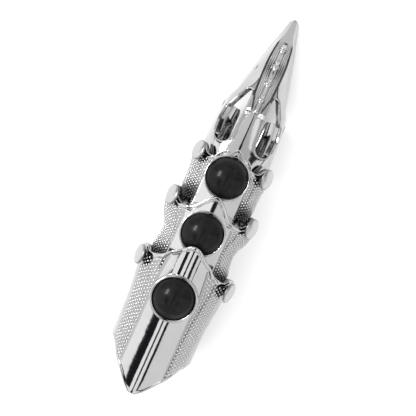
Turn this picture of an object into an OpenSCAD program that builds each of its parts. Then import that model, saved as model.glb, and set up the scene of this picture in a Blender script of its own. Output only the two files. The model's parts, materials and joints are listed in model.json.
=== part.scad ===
// Full-finger armour ring: four plates hinged on rivets, with three domed stones.
// +Y points to the claw tip, X runs across the finger and Z is up from the surface it lies on.
// Each plate has its own frame: Y along the finger and Z up from the hinge line, in millimetres.

/* [Finger band] */
// Inner radius of the band round the knuckle
band_inner_r = 8.9; // [8.6:0.05:9.1]
// Thickness of the band
band_thickness = 1.4; // [1.2:0.1:1.5]
// Width of the gap between the band's two ends
band_gap = 7; // [5:0.5:9]
// Inner radius of the claw's tabs
tab_inner_r = 7.2; // [7:0.1:7.3]
// Thickness of the claw's tabs
tab_thickness = 1.2; // [1:0.1:1.3]
// Width of the gap between the claw's tabs
tab_gap = 7.4; // [6:0.2:9]

/* [Hinges] */
// Height of the hinge line above the middle of the finger
hinge_rise = 4; // [3.8:0.1:4.2]
// Distance from the first hinge to the second
middle_span = 16.1; // [16:0.05:16.2]
// Distance from the second hinge to the third
front_span = 12.15; // [12.1:0.05:12.2]
// Bend at each hinge as the ring lies, against its stops
rest_bend = 6.5; // [6:0.1:7]

/* [Stones] */
// Radius of each round stone
stone_r = 5.05; // [4.9:0.05:5.1]
// Height of a stone's dome above its cup
dome_h = 3; // [2.6:0.1:3.2]
// Play between a stone and its cup
stone_play = 0.05; // [0.03:0.01:0.1]

/* [Rivets] */
// Radius of a rivet's head
head_r = 2.55; // [2.3:0.05:2.6]
// Thickness of a rivet's head
head_h = 1.1; // [0.9:0.1:1.3]
// Radius of a rivet's shank
shank_r = 0.8; // [0.7:0.05:0.9]

/* [Walls] */
// Thickness of the plates
plate_wall = 1.1; // [1:0.05:1.2]
// Width of the raised rim along a plate's front edge
rim_w = 1; // [0.8:0.1:1.2]
// Height of that rim
rim_h = 0.25; // [0.15:0.05:0.3]

/* [Hidden] */
$fn = 64;

silver = [0.8, 0.8, 0.82];
onyx = [0.03, 0.03, 0.035];

// Section of a plate, for each place along it, rear to front. Columns: y, crest height,
// half width of the polished centre, half width and height at the hinge line, half width and
// height at the bottom of the side wall.
CREST = 1;
PANEL = 2;
HIP_X = 3;
HIP_Z = 4;
FOOT_X = 5;
FOOT_Z = 6;

knuckle_sections = [
    [-31, 7.7, 5.4, 9.4, 0, 10.1, -4.4],
    [-27, 8.0, 5.4, 9.4, 0, 10.1, -4.4],
    [-20, 8.0, 5.4, 9.5, 0, 10.15, -4.4],
    [-12, 8.0, 5.4, 9.8, 0, 10.35, -4.4],
    [-4, 8.0, 5.4, 10.6, 0, 11.0, -4.4],
    [0, 8.0, 5.1, 11.0, 0, 11.45, -4.2],
    [3, 8.0, 4.8, 11.0, 0, 11.45, -3.6],
    [8, 8.0, 4.0, 11.0, 0, 11.45, -3.6]];

middle_sections = [
    [-2.3, 4.9, 5.7, 8.65, 0, 9.6, -3.0],
    [1.5, 5.0, 5.8, 8.75, 0, 9.7, -3.4],
    [3.2, 5.2, 5.9, 9.3, 0, 9.85, -3.8],
    [5, 5.3, 5.9, 9.0, 0, 9.6, -3.8],
    [7.5, 5.3, 5.9, 8.7, 0, 9.3, -3.8],
    [9.5, 5.3, 5.9, 8.85, 0, 9.75, -3.8],
    [11.2, 5.3, 5.9, 9.3, 0, 10.6, -3.8],
    [13.2, 5.3, 5.9, 9.85, 0, 11.2, -3.6],
    [16.1, 5.3, 5.6, 10.1, 0, 11.4, -3.3],
    [20.5, 5.3, 5.0, 10.0, 0, 11.1, -2.6]];

front_sections = [
    [-2.2, 3.8, 5.25, 7.65, 0, 8.7, -2.8],
    [1.2, 3.85, 5.25, 7.8, 0, 8.85, -3.3],
    [2.8, 4.0, 5.25, 8.4, 0, 9.2, -3.6],
    [5, 4.0, 5.25, 8.35, 0, 9.3, -3.6],
    [8, 4.0, 5.25, 8.35, 0, 9.35, -3.6],
    [9.7, 4.0, 5.25, 8.5, 0, 9.6, -3.5],
    [12.15, 4.0, 5.0, 8.6, 0, 9.6, -3.3],
    [16, 4.0, 4.6, 8.5, 0, 9.4, -2.6]];

claw_sections = [
    [-2.2, 2.9, 2.6, 6.1, 0, 7.1, -2.8],
    [1.2, 2.95, 2.6, 6.4, 0, 7.6, -4.6],
    [3.4, 3.0, 2.2, 7.2, -0.4, 8.45, -6.2],
    [5.2, 3.1, 1.0, 7.5, -0.6, 8.55, -6.4],
    [11.3, 2.9, 0.7, 7.3, -0.8, 8.3, -6.4],
    [14.9, 2.5, 1.3, 7.0, -1.1, 8.0, -6.4],
    [16.5, 2.25, 1.7, 6.7, -1.3, 7.75, -6.4],
    [18.2, 1.9, 2.1, 6.1, -1.6, 6.85, -6.4],
    [20.8, 1.3, 2.3, 5.4, -2.3, 6.2, -6.4],
    [26.1, -0.3, 2.4, 4.2, -3.7, 4.85, -6.6],
    [32.4, -2.8, 1.9, 2.75, -5.3, 3.2, -6.9],
    [36.5, -4.7, 0.9, 1.75, -6.2, 2.05, -7.15],
    [38.6, -5.7, 0.65, 1.35, -6.65, 1.5, -7.34],
    [39.8, -6.25, 0.5, 1.05, -6.85, 1.15, -7.3],
    [40.35, -6.5, 0.35, 0.7, -6.9, 0.75, -7.15],
    [40.6, -6.65, 0.15, 0.35, -6.9, 0.4, -7.1]];

// Where each plate's edge lies, by its place round the section. Columns: place, y of the rear
// edge, y of the front edge. Place 0 is the crest, 1 the edge of the polished centre, 2 the
// hinge line and 3 the bottom of the side wall.
REAR = 1;
FRONT = 2;

knuckle_edges = [
    [0, -30.9, 8.15],
    [0.15, -30.8, 8.05],
    [0.3, -30.25, 7.85],
    [0.45, -29.55, 7.4],
    [0.6, -28.7, 6.75],
    [0.8, -27.4, 5.9],
    [1, -26.1, 5.0],
    [1.2, -25.0, 3.2],
    [1.4, -23.8, 2.35],
    [1.6, -22.6, 1.9],
    [1.72, -22.0, 1.85],
    [1.85, -21.7, 2.5],
    [2, -21.4, 2.9],
    [2.33, -21.1, 2.7],
    [2.67, -21.0, 1.4],
    [3, -21.0, -2.0]];

middle_edges = [
    [0, -1.4, 20.1],
    [0.15, -1.4, 19.9],
    [0.3, -1.4, 19.4],
    [0.5, -1.4, 18.3],
    [0.7, -1.4, 16.8],
    [0.9, -1.2, 15.6],
    [1.15, -0.9, 15.3],
    [1.35, -0.7, 15.4],
    [1.6, -0.7, 16.1],
    [1.85, -1.3, 17.8],
    [2, -2.0, 18.6],
    [2.33, -2.2, 18.5],
    [2.67, -1.8, 17.4],
    [3, -0.8, 15.0]];

front_edges = [
    [0, 0.7, 15.9],
    [0.15, 0.65, 15.4],
    [0.3, 0.5, 14.8],
    [0.6, -0.2, 13.3],
    [0.9, -0.7, 12.4],
    [1.2, -0.8, 12.2],
    [1.4, -0.6, 12.5],
    [1.7, -0.7, 13.8],
    [1.85, -1.3, 14.4],
    [2, -2.0, 14.7],
    [2.33, -2.2, 14.6],
    [2.67, -1.8, 13.6],
    [3, -0.8, 11.4]];

claw_edges = [
    [0, 2.5, 40.6],
    [1, 2.0, 40.6],
    [1.3, 0.9, 40.6],
    [1.55, -0.4, 40.6],
    [1.8, -0.7, 40.6],
    [2, -1.6, 40.6],
    [2.33, -1.8, 40.6],
    [2.67, -1.2, 40.6],
    [3, 1.6, 40.6]];

// Places round the right half of a section, from the crest down
places = [0.15, 0.3, 0.45, 0.6, 0.8, 1, 1.001, 1.2, 1.4, 1.6, 1.8, 2, 2.25, 2.5, 2.75, 3];
ring_places = concat([for (i = [len(places) - 1:-1:0]) -places[i]], [0], places);

// Steps along a plate, as shares of its length
plate_steps = [0, 0.07, 0.16, 0.26, 0.37, 0.48, 0.59, 0.7, 0.8, 0.9, 1];
claw_steps = [0, 0.05, 0.1, 0.16, 0.23, 0.3, 0.36, 0.4, 0.44, 0.48, 0.54, 0.6, 0.67, 0.74,
    0.81, 0.87, 0.92, 0.96, 0.985, 1];

// Slope and softness of the ridge along each plate's crest
knuckle_ridge = [25, 2.2];
middle_ridge = [16, 3];
front_ridge = [14, 3];
claw_ridge = [18, 1.6];
// How square each plate's shoulder is, from 0.5, straight, to 1, square, by y
plate_shoulder = [[0, 0.66]];
claw_shoulder = [[1, 0.79], [4, 0.84], [11, 0.8], [20, 0.68], [30, 0.56]];
// How far the flank lies below the polished centre, by y: on the claw it rises round the channel
knuckle_step = [[0, 0.28]];
plate_step = [[0, 0.15]];
claw_channel = [[12.6, 0], [14, -0.45], [32.4, -0.4], [34.6, 0]];

// Stone cups: y of the middle, outer radius, height of the rim, depth of the cup's underside
knuckle_cup = [-5.4, 5.9, 8.5, 5.9];
middle_cup = [10.5, 5.6, 5.75, 3.6];
front_cup = [8.45, 5.55, 4.35, 2.2];
CUP_Y = 0;
CUP_R = 1;
CUP_TOP = 2;
CUP_LOW = 3;
seat_depth = 1.1;
girdle_drop = 0.2;

// Rivets: half width of the inner ear's middle on the hinge line, tilt of the axis, and the
// distance from there out to the outer ear's face
knuckle_rivet = [8.25, 22, 2.6];
middle_rivet = [7.25, 29, 2.45];
front_rivet = [5.85, 29, 2.4];
head_stand = 0.8;
hole_play = 0.35;
peen_r = 1.2;
peen_h = 0.3;
peen_stand = 0.7;

// Finger band: rear edge and front edge
band_rear = -20.7;
band_front = -8;
band_corner = 1.5;
band_outer_r = band_inner_r + band_thickness;
lining_r = 11;
lining_w = 13;

// Claw tabs: middle of the ring, rear edge and front edge
tab_drop = 3.7;
tab_rear = 4.2;
tab_front = 15.2;
tab_outer_r = tab_inner_r + tab_thickness;
tab_corner = 1.2;

// Centre of the round claw tip and its radius
tip_centre = [39.85, -6.55];
tip_r = 0.75;

// Pitch of each plate, and the places of the hinges from the first one, before settling
knuckle_pitch = 7.5;
pitches = [knuckle_pitch, knuckle_pitch - rest_bend, knuckle_pitch - 2 * rest_bend,
    knuckle_pitch - 3 * rest_bend];

// Turns a point of the Y-Z plane nose up
function turned(p, a) = [p[0] * cos(a) - p[1] * sin(a), p[0] * sin(a) + p[1] * cos(a)];

hinge_2 = turned([middle_span, 0], pitches[1]);
hinge_3 = hinge_2 + turned([front_span, 0], pitches[2]);
tip_at = hinge_3 + turned(tip_centre, pitches[3]);
heel_low = -hinge_rise - sqrt(pow(band_outer_r, 2) - pow(band_gap / 2, 2));
heel_at = turned([band_rear + band_corner, heel_low], pitches[0]);

// Small turn that lays both the band's heel and the claw's tip on the surface
reach = tip_at - heel_at;
settle = asin(tip_r / norm(reach)) - atan2(reach[1], reach[0]);
heel_down = turned(heel_at, settle);
tail_at = turned([knuckle_edges[0][REAR], knuckle_sections[0][CREST]], pitches[0] + settle);
tip_down = turned(tip_at, settle);
middle_y = (tail_at[0] + tip_down[0] + tip_r) / 2;

hinge_at = [for (h = [[0, 0], hinge_2, hinge_3]) turned(h, settle) - [middle_y, heel_down[1]]];

// Point on a curve that leaves a, is pulled by b and ends at c
function curved(a, b, c, u) = (1 - u) * (1 - u) * a + 2 * u * (1 - u) * b + u * u * c;

// One column of a table, read at y
function read(table, column, y) = lookup(y, [for (row = table) [row[0], row[column]]]);

// Height of the ridged centre at x
function ridged(x, crest, ridge) =
    crest - tan(ridge[0]) * (sqrt(x * x + ridge[1] * ridge[1]) - ridge[1]);

// Point of a section at a place from 0 to 3
function section(table, ridge, step, shoulder, y, place) =
    let (
        crest = read(table, CREST, y),
        panel = read(table, PANEL, y),
        hip = [read(table, HIP_X, y), read(table, HIP_Z, y)],
        foot = [read(table, FOOT_X, y), read(table, FOOT_Z, y)],
        drop = lookup(y, step),
        edge = [panel + abs(drop) / 2, ridged(panel, crest, ridge) - drop],
        pull = [edge[0] + lookup(y, shoulder) * (hip[0] - edge[0]), hip[1] + 0.64 * (edge[1] - hip[1])],
        low_pull = hip + 0.4 * (hip - pull)
    )
    place <= 1
        ? [panel * place, ridged(panel * place, crest, ridge)]
        : place <= 2
            ? curved(edge, pull, hip, place - 1)
            : curved(hip, low_pull, foot, place - 2);

// Moves a section's point away from the middle of the finger
function raised(p, middle, h) = p + h * (p - middle) / norm(p - middle);

// y of row i at a place, where the last rows follow the front edge's rim
function row_y(edges, steps, rims, i, place) =
    let (
        rear = read(edges, REAR, place),
        front = read(edges, FRONT, place)
    )
    i < len(steps)
        ? rear + steps[i] * (front - rims[0][0] - rear)
        : front - rims[i - len(steps)][0];

function row_rise(steps, rims, i) = i < len(steps) ? 0 : rims[i - len(steps)][1];

// Rows of points of one skin: sign mirrors the left half
function skin(table, edges, ridge, step, shoulder, steps, rims, middle, inset) =
    [for (i = [0:len(steps) + len(rims) - 1])
        [for (place = ring_places)
            let (
                side = place < 0 ? -1 : 1,
                y = row_y(edges, steps, rims, i, abs(place)),
                p = section(table, ridge, step, shoulder, y, abs(place)),
                q = raised(p, middle, inset == 0 ? row_rise(steps, rims, i) : -inset)
            )
            [side * q[0], y, q[1]]]];

function pair(a, b, c, d) = [[a, b, c], [a, c, d]];

// Closes an outer and an inner skin into one wall
module wall(outer, inner) {
    rows = len(outer);
    cols = len(outer[0]);
    total = rows * cols;
    points = concat([for (row = outer) each row], [for (row = inner) each row]);
    top = [for (i = [0:rows - 2]) for (j = [0:cols - 2])
        each pair(i * cols + j, (i + 1) * cols + j, (i + 1) * cols + j + 1, i * cols + j + 1)];
    under = [for (i = [0:rows - 2]) for (j = [0:cols - 2])
        each pair(total + i * cols + j, total + i * cols + j + 1,
            total + (i + 1) * cols + j + 1, total + (i + 1) * cols + j)];
    ends = [for (j = [0:cols - 2]) each concat(
        pair(j, j + 1, total + j + 1, total + j),
        pair(total - cols + j, 2 * total - cols + j, 2 * total - cols + j + 1, total - cols + j + 1))];
    sides = [for (i = [0:rows - 2]) each concat(
        pair(i * cols, total + i * cols, total + (i + 1) * cols, (i + 1) * cols),
        pair(i * cols + cols - 1, (i + 1) * cols + cols - 1,
            total + (i + 1) * cols + cols - 1, total + i * cols + cols - 1))];
    polyhedron(points, concat(top, under, ends, sides));
}

// Rim rows: distance back from the front edge, and height
rim_rows = [[rim_w + 0.15, 0], [rim_w, rim_h], [0.15, rim_h], [0, 0]];
finger_middle = [0, -hinge_rise];

module plate_shell(table, edges, ridge, step) {
    wall(
        skin(table, edges, ridge, step, plate_shoulder, plate_steps, rim_rows, finger_middle, 0),
        skin(table, edges, ridge, step, plate_shoulder, plate_steps, rim_rows, finger_middle, plate_wall));
}

module cup_body(cup) {
    translate([0, cup[CUP_Y], cup[CUP_LOW]])
        cylinder(r = cup[CUP_R], h = cup[CUP_TOP] - cup[CUP_LOW]);
}

module cup_pocket(cup) {
    translate([0, cup[CUP_Y], cup[CUP_TOP] - seat_depth])
        cylinder(r = stone_r + stone_play, h = 4);
}

module stone(cup) {
    girdle = cup[CUP_TOP] - girdle_drop;
    dome_r = (stone_r * stone_r + dome_h * dome_h) / (2 * dome_h);
    color(onyx)
        translate([0, cup[CUP_Y], 0])
            intersection() {
                translate([0, 0, girdle + dome_h - dome_r]) sphere(r = dome_r, $fn = 96);
                translate([0, 0, cup[CUP_TOP] - seat_depth + stone_play])
                    cylinder(r = stone_r, h = dome_h + 3);
            }
}

// Lays a rivet's own axis, outward along Z, at one side of a hinge
module at_rivet(rivet, side) {
    translate([side * rivet[0], 0, 0])
        rotate([0, side * (90 - rivet[1]), 0])
            children();
}

module rivet(rivet, side) {
    face = rivet[2] + head_stand;
    cap_h = head_h * 0.55;
    cap_r = (head_r * head_r + cap_h * cap_h) / (2 * cap_h);
    tail = -plate_wall / 2 - peen_stand;
    color(silver)
        at_rivet(rivet, side) {
            translate([0, 0, tail - peen_h]) cylinder(r = peen_r, h = peen_h);
            translate([0, 0, tail - peen_h]) cylinder(r = shank_r, h = face - tail + peen_h + 0.3);
            translate([0, 0, face]) cylinder(r = head_r, h = head_h - cap_h);
            intersection() {
                translate([0, 0, face + head_h - cap_r]) sphere(r = cap_r, $fn = 96);
                translate([0, 0, face + head_h - cap_h]) cylinder(r = head_r, h = cap_h + 1);
            }
        }
}

// Holes for a rivet pair: start and end of the drill, measured out from the inner ear's middle
module rivet_holes(rivet, r, start, length) {
    for (side = [-1, 1])
        at_rivet(rivet, side)
            translate([0, 0, start]) cylinder(r = r, h = length);
}

module outer_holes(rivet) {
    rivet_holes(rivet, shank_r + stone_play, 0, 4);
}

module inner_holes(rivet) {
    rivet_holes(rivet, shank_r + hole_play, -2, 3.2);
}

// Mirrors towards the signs given
module turned_over(x, y) {
    mirror([x < 0 ? 1 : 0, 0, 0]) mirror([0, y < 0 ? 1 : 0, 0]) children();
}

// What rounds off one corner of a ring's end: at x, y, towards the signs given
module corner_cut(x, y, to_x, to_y, r, depth) {
    translate([x, y, -depth])
        turned_over(to_x, to_y)
            linear_extrude(depth)
                difference() {
                    translate([-0.5, -0.5]) square(r + 0.5);
                    translate([r, r]) circle(r = r);
                }
}

// Ring across the finger from y = from to y = to, split below by a gap with rounded corners
module split_ring(outer_r, inner_r, drop, from, to, gap, corner) {
    difference() {
        translate([0, to, -drop])
            rotate([90, 0, 0])
                linear_extrude(to - from)
                    difference() {
                        circle(r = outer_r, $fn = 96);
                        circle(r = inner_r, $fn = 96);
                        translate([-gap / 2, -2 * outer_r]) square([gap, 2 * outer_r]);
                    }
        for (side = [-1, 1]) {
            corner_cut(side * gap / 2, from, side, 1, corner, drop + outer_r + 1);
            corner_cut(side * gap / 2, to, side, -1, corner, drop + outer_r + 1);
        }
    }
}

module knuckle_plate() {
    color(silver)
        difference() {
            union() {
                plate_shell(knuckle_sections, knuckle_edges, knuckle_ridge, knuckle_step);
                split_ring(band_outer_r, band_inner_r - 0.5, hinge_rise, band_rear, band_front,
                    band_gap, band_corner);
                translate([0, band_front, -hinge_rise])
                    rotate([90, 0, 0])
                        linear_extrude(band_front - band_rear)
                            intersection() {
                                circle(r = lining_r, $fn = 96);
                                translate([-lining_w / 2, 0]) square([lining_w, lining_r]);
                            }
                cup_body(knuckle_cup);
            }
            cup_pocket(knuckle_cup);
            outer_holes(knuckle_rivet);
            translate([0, band_front + 1, -hinge_rise])
                rotate([90, 0, 0])
                    cylinder(r = band_inner_r, h = band_front - band_rear + 2, $fn = 96);
        }
}

module middle_plate() {
    color(silver)
        difference() {
            union() {
                plate_shell(middle_sections, middle_edges, middle_ridge, plate_step);
                cup_body(middle_cup);
            }
            cup_pocket(middle_cup);
            inner_holes(knuckle_rivet);
            translate([0, middle_span, 0]) outer_holes(middle_rivet);
        }
}

module front_plate() {
    color(silver)
        difference() {
            union() {
                plate_shell(front_sections, front_edges, front_ridge, plate_step);
                cup_body(front_cup);
            }
            cup_pocket(front_cup);
            inner_holes(middle_rivet);
            translate([0, front_span, 0]) outer_holes(front_rivet);
        }
}

// Window of the claw: y, half width of its middle, radius, for the circles that its outline wraps
window_circles = [
    [6, 5.2, 1.8],
    [9.5, 6.35, 0.95],
    [12.6, 5.9, 1],
    [10.5, 3.95, 1.1],
    [14.5, 3.85, 1.1],
    [17.9, 3.5, 0.8]];

module claw_window(side) {
    linear_extrude(12, center = true)
        hull()
            for (c = window_circles)
                translate([side * c[1], c[0]]) circle(r = c[2], $fn = 32);
}

claw_rims = [[0, 0]];
hollow_end = 30;
solid_from = 34;

// Inside of the claw: a wall's thickness in from the outside, closing to a flat underside
// where the tip becomes solid
function claw_outside() =
    skin(claw_sections, claw_edges, claw_ridge, claw_channel, claw_shoulder, claw_steps, claw_rims,
        [0, 0], 0);

function claw_inside() =
    [for (row = claw_outside())
        [for (p = row)
            let (
                low = read(claw_sections, FOOT_Z, p[1]),
                high = read(claw_sections, CREST, p[1]),
                middle = [0, high + 0.6 * (low - high)],
                share = max(0, min(1, (p[1] - hollow_end) / (solid_from - hollow_end))),
                section_p = [p[0], p[2]],
                size = norm(section_p - middle),
                inset = min(plate_wall, 0.45 * size),
                hollow = section_p + (middle - section_p) * inset / size,
                under = [0.8 * p[0], low + 0.1 * (p[2] - low)],
                q = (1 - share) * hollow + share * under
            )
            [q[0], p[1], q[1]]]];

// Rod along the claw's channel, bound by a tie at each of these places
rod_ends = [13.4, 33];
tie_at = [17.1, 21.6, 26.4, 31.4];
rod_r = 0.5;
tie_r = 0.72;
tie_w = 0.9;
rod_lift = 0.12;

function rod_point(y) = [0, y, read(claw_sections, CREST, y) + rod_lift];

module bar(a, b, r, spare) {
    d = b - a;
    translate(a)
        rotate([atan2(d[2], d[1]) - 90, 0, 0])
            translate([0, 0, -spare])
                cylinder(r = r, h = norm(d) + 2 * spare);
}

module claw_rod() {
    stops = concat([rod_ends[0]], tie_at, [rod_ends[1]]);
    for (i = [0:len(stops) - 2])
        bar(rod_point(stops[i]), rod_point(stops[i + 1]), rod_r, 0.1);
    for (y = tie_at)
        bar(rod_point(y - tie_w / 2), rod_point(y + tie_w / 2), tie_r, 0);
}

module claw() {
    color(silver)
        difference() {
            union() {
                wall(claw_outside(), claw_inside());
                claw_rod();
                difference() {
                    split_ring(tab_outer_r, tab_inner_r, tab_drop, tab_rear, tab_front, tab_gap,
                        tab_corner);
                    translate([-20, 0, -5.6]) cube([40, 40, 20]);
                }
            }
            for (side = [-1, 1]) claw_window(side);
            inner_holes(front_rivet);
        }
}

// Frames of the plates as the ring lies
module frame_of(i) {
    translate([0, hinge_at[max(0, i - 1)][0], hinge_at[max(0, i - 1)][1]])
        rotate([pitches[i] + settle, 0, 0])
            children();
}

module knuckle_stone() { stone(knuckle_cup); }
module middle_stone() { stone(middle_cup); }
module front_stone() { stone(front_cup); }

frame_of(0) knuckle_plate();
frame_of(0) knuckle_stone();
frame_of(0) rivet(knuckle_rivet, -1);  // knuckle_rivet_left
frame_of(0) rivet(knuckle_rivet, 1);  // knuckle_rivet_right
frame_of(1) middle_plate();
frame_of(1) middle_stone();
frame_of(1) translate([0, middle_span, 0]) rivet(middle_rivet, -1);  // middle_rivet_left
frame_of(1) translate([0, middle_span, 0]) rivet(middle_rivet, 1);  // middle_rivet_right
frame_of(2) front_plate();
frame_of(2) front_stone();
frame_of(2) translate([0, front_span, 0]) rivet(front_rivet, -1);  // front_rivet_left
frame_of(2) translate([0, front_span, 0]) rivet(front_rivet, 1);  // front_rivet_right
frame_of(3) claw();
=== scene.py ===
# %% [markdown]
# # A knuckle armour ring
# The ring is a chain of four cast plates that lie over a finger: a long knuckle plate with a keel,
# two short plates, and a pierced claw over the fingertip. Rivets join them, and a round black
# stone sits in a cup on each of the first three. The solids of the ring are already there, so
# this lesson dresses them: fine curved skins, beading, rims and polish go where the solids are.

# %% Load the ring's solids and keep their box
import bisect
import json
import math

import bmesh
import bpy
from mathutils import Matrix, Vector
from mathutils.geometry import convex_hull_2d


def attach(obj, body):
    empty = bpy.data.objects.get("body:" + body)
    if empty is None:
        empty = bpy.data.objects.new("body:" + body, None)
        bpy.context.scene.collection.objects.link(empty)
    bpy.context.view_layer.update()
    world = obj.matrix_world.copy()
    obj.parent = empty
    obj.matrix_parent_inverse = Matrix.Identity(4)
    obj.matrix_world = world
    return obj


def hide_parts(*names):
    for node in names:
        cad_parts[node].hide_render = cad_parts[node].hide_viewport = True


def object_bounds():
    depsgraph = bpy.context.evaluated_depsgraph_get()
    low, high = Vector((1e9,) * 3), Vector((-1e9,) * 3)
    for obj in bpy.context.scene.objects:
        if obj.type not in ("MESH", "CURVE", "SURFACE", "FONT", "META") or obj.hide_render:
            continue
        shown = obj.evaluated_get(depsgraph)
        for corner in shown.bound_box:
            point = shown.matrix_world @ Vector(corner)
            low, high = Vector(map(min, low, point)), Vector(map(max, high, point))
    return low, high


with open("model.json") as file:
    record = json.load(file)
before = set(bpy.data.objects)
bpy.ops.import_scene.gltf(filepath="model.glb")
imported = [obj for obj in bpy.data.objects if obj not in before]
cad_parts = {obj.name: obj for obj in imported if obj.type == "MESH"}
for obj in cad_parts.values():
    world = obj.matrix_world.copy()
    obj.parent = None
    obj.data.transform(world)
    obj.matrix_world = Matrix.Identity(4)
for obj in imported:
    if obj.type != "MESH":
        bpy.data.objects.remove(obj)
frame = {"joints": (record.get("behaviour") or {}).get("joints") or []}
solid_box = [list(corner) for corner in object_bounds()]
print("box of the solids, mm:", [[round(1000 * c, 1) for c in corner] for corner in solid_box])

# %% [markdown]
# ## Where each plate lies
# A plate is easiest to shape flat, in its own frame: Y along the finger, Z up from its rear hinge
# line, in millimetres. The frame knows the three hinge lines. The line from one hinge to the next
# gives the pitch of the plate between them, and the chain bends by the same angle at each hinge.

# %% Frames of the four plates
MM = 0.001
BODIES = ["knuckle", "middle", "front", "claw"]
hinges = [Vector(joint["pos_m"]) for joint in frame["joints"]]
REST_BEND = 6.5


def pitch_between(a, b):
    return math.degrees(math.atan2(b.z - a.z, b.y - a.y))


middle_pitch = pitch_between(hinges[0], hinges[1])
pitches = {body: middle_pitch + REST_BEND * (1 - i) for i, body in enumerate(BODIES)}
places = {body: hinges[max(0, i - 1)] for i, body in enumerate(BODIES)}
middle_span = (hinges[1] - hinges[0]).length / MM
front_span = (hinges[2] - hinges[1]).length / MM


def plate_matrix(body):
    """From a plate's own millimetres to the ring's metres."""
    turn = Matrix.Rotation(math.radians(pitches[body]), 4, "X")
    return Matrix.Translation(places[body]) @ turn @ Matrix.Scale(MM, 4)


print("pitches:", {body: round(pitch, 2) for body, pitch in pitches.items()})

# %% [markdown]
# ## Smooth lines through short tables
# Polished metal shows every kink, so the tables that give a plate's shape can't be read with
# straight lines between their rows. A cubic through the rows is smooth. Its slope at each row is
# held back where the table turns, so that the line never swings past the numbers in the table.

# %% A smooth line through a table
class Line:
    """A smooth line through points, level beyond both ends."""

    def __init__(self, points):
        self.at = [p[0] for p in points]
        self.value = [p[1] for p in points]
        steps = [(b - a) / (t - s) for s, t, a, b in
                 zip(self.at, self.at[1:], self.value, self.value[1:])]
        inner = [2 * a * b / (a + b) if a * b > 0 else 0 for a, b in zip(steps, steps[1:])]
        self.slope = ([steps[0]] + inner + [steps[-1]]) if steps else [0]

    def __call__(self, x):
        if x <= self.at[0]:
            return self.value[0]
        if x >= self.at[-1]:
            return self.value[-1]
        i = bisect.bisect_left(self.at, x) - 1
        wide = self.at[i + 1] - self.at[i]
        t = (x - self.at[i]) / wide
        a, b = self.value[i], self.value[i + 1]
        rise_a, rise_b = self.slope[i] * wide, self.slope[i + 1] * wide
        return (a * (1 + 2 * t) * (1 - t) ** 2 + rise_a * t * (1 - t) ** 2
                + b * t * t * (3 - 2 * t) - rise_b * t * t * (1 - t))


def smooth_step(low, high, x):
    t = min(1, max(0, (x - low) / (high - low)))
    return t * t * (3 - 2 * t)


print("half way up a smooth step:", smooth_step(0, 2, 1))

# %% [markdown]
# ## The shape of a plate
# Across the finger every plate has the same kind of section: a polished centre with a soft ridge,
# a small step down to the flank, a round shoulder to the hinge line, and a side wall. A place
# from 0 to 3 runs down that section: 0 is the crest, 1 the edge of the centre, 2 the hinge line
# and 3 the bottom of the wall. Along the finger, two more tables say where the plate starts and
# ends at each place, so the V of the tail and the scallops of the front need no cutting.

# %% One plate's shape
SHOULDER_UP, WALL_BULGE = 0.64, 0.4


def curved(a, b, c, u):
    return (1 - u) ** 2 * a + 2 * u * (1 - u) * b + u * u * c


class Plate:
    """A plate in its own frame.

    Section rows: y, crest, centre's half width, hip x and z, foot x and z.
    Edge rows: place, y of the rear edge, y of the front edge.
    """

    def __init__(self, body, sections, edges, ridge, step, shoulder):
        self.body = body
        self.columns = [Line([(row[0], row[k]) for row in sections]) for k in range(1, 7)]
        self.rear = Line([(row[0], row[1]) for row in edges])
        self.front = Line([(row[0], row[2]) for row in edges])
        self.slope, self.soft = math.tan(math.radians(ridge[0])), ridge[1]
        self.step, self.shoulder = Line(step), Line(shoulder)
        self.matrix = plate_matrix(body)

    def crest(self, y):
        return self.columns[0](y)

    def ridged(self, x, y):
        return self.crest(y) - self.slope * (math.hypot(x, self.soft) - self.soft)

    def section(self, y, place):
        crest, centre, hip_x, hip_z, foot_x, foot_z = [line(y) for line in self.columns]
        if place <= 1:
            return Vector((centre * place, self.ridged(centre * place, y)))
        drop = self.step(y)
        edge = Vector((centre + abs(drop) / 2, self.ridged(centre, y) - drop))
        hip, foot = Vector((hip_x, hip_z)), Vector((foot_x, foot_z))
        pull = Vector((edge.x + self.shoulder(y) * (hip.x - edge.x),
                       hip.y + SHOULDER_UP * (edge.y - hip.y)))
        if place <= 2:
            return curved(edge, pull, hip, place - 1)
        return curved(hip, hip + WALL_BULGE * (hip - pull), foot, place - 2)

    def middle(self, y):
        """What the wall's thickness is measured towards."""
        return Vector((0, -4))

    def point(self, y, place, lift=0):
        p = self.section(y, abs(place))
        p += (p - self.middle(y)).normalized() * lift
        return Vector((math.copysign(p.x, place), y, p.y))

    def outward(self, y, place):
        """The surface's own direction at a place."""
        along = self.point(y + 0.05, place) - self.point(y - 0.05, place)
        across = self.point(y, place + 0.01) - self.point(y, place - 0.01)
        return across.cross(along).normalized()


print("a plate's section runs from place 0, its crest, to place 3, its foot")

# %% [markdown]
# ## The numbers of the four plates
# These are the dimensions that the solids were built from, in millimetres. The tail of the
# knuckle plate is a V, the middle plate has a waist, the front plate's sides are nearly straight,
# and the claw narrows to its tip.

# %% Knuckle plate
KEEL_DROP, KEEL_HALF, KEEL_SIDE = 0.42, 1.75, 0.9


class Knuckle(Plate):
    """The keel stands up along the knuckle plate's tongue, with a steep side."""

    def section(self, y, place):
        p = super().section(y, place)
        if place <= 1.25:
            fade = smooth_step(-6, 1, y) * smooth_step(1.25, 1, place)
            p.y -= KEEL_DROP * smooth_step(KEEL_HALF, KEEL_HALF + KEEL_SIDE, p.x) * fade
        return p


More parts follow.
